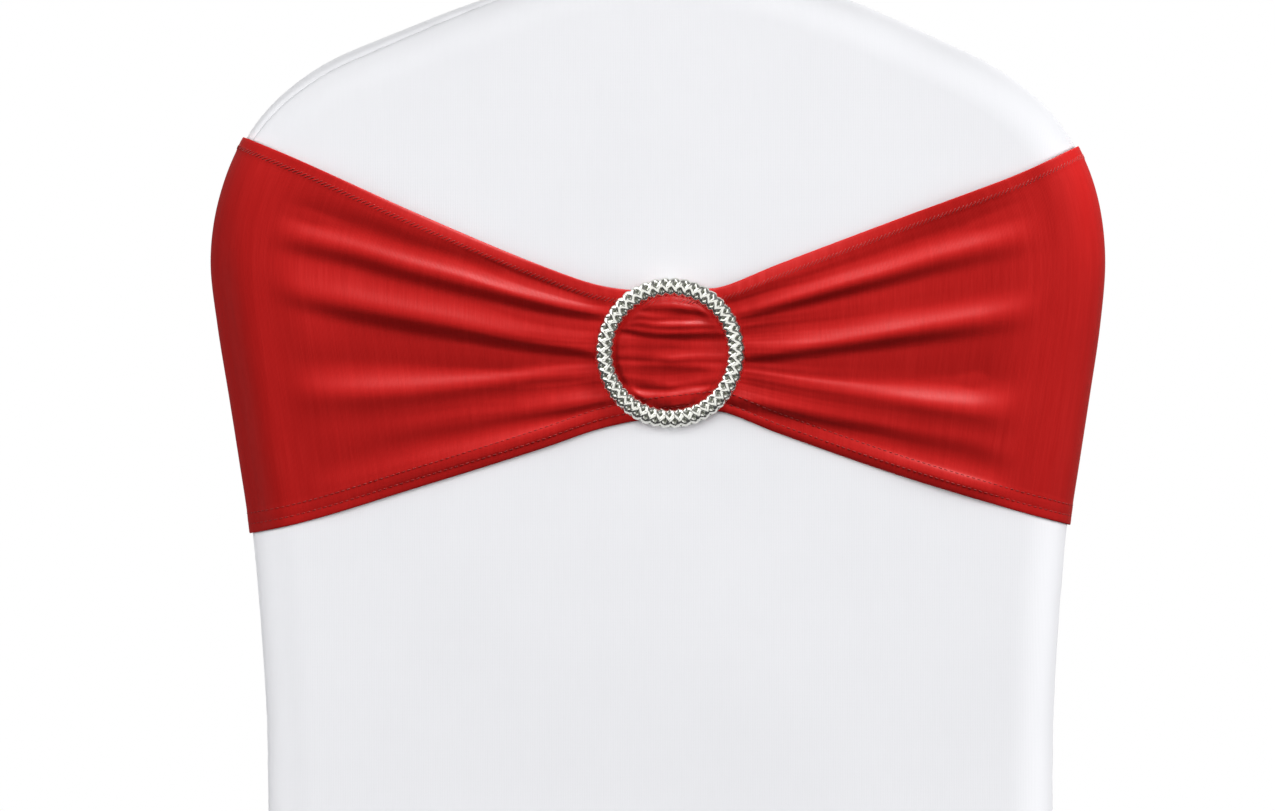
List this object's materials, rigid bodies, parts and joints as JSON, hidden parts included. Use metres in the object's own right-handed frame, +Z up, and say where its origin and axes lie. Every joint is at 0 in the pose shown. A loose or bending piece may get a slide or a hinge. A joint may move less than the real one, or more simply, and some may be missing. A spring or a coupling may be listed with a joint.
{
  "type": "chair cover with sash",
  "caption": "Hollow stretch cover for a crown-back banquet chair, with a red stretch sash round the back gathered into a round rope-pattern buckle.",
  "frame": {"origin": "underside of the crown, in the middle of the covered back, where the cover bears on the chair's top rail", "axes": "+Z up, +Y from the outer back towards the seat's front edge, +X to the right seen from behind the chair"},
  "size_m": [0.41, 0.4977, 0.9212],
  "materials": {
    "cover_knit": "smooth white stretch knit, matt with a slight sheen",
    "pocket_cloth": "white, firm, double layer of stretch cloth",
    "sash_satin": "red satin-faced stretch knit, soft gloss",
    "buckle_plating": "bright silver plating on a cast rope pattern"
  },
  "bodies": {
    "root": {"cover_rear_panel": "cover_knit", "cover_front_panel": "cover_knit", "cover_side_left": "cover_knit", "cover_side_right": "cover_knit", "foot_pocket_rear_left": "pocket_cloth", "foot_pocket_rear_right": "pocket_cloth", "foot_pocket_front_left": "pocket_cloth", "foot_pocket_front_right": "pocket_cloth", "sash_band": "sash_satin", "buckle_ring": "buckle_plating"}
  },
  "joints": []
}
